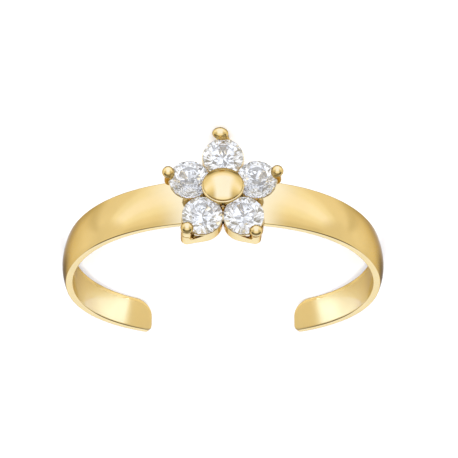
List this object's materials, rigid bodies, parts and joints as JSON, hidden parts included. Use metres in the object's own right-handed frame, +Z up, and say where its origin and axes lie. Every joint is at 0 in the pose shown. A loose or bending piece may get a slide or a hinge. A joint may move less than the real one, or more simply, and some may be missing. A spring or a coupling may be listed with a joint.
{
  "type": "toe ring",
  "caption": "Open cuff toe ring: a half-round tapering band with a flower of round faceted stones set round a domed button.",
  "frame": {"origin": "middle of the box round the ring, on the surface that it lies on", "axes": "+Z up from the surface, near the ring's own axis; the flower faces -Y and the gap between the ends faces +Y; +X across the ring"},
  "size_m": [0.016, 0.0171, 0.0059],
  "materials": {
    "gold": "polished yellow gold",
    "stone": "clear, faceted and polished"
  },
  "bodies": {
    "root": {"gold_ring": "gold", "stone_1": "stone", "stone_2": "stone", "stone_3": "stone", "stone_4": "stone", "stone_5": "stone"}
  },
  "joints": []
}
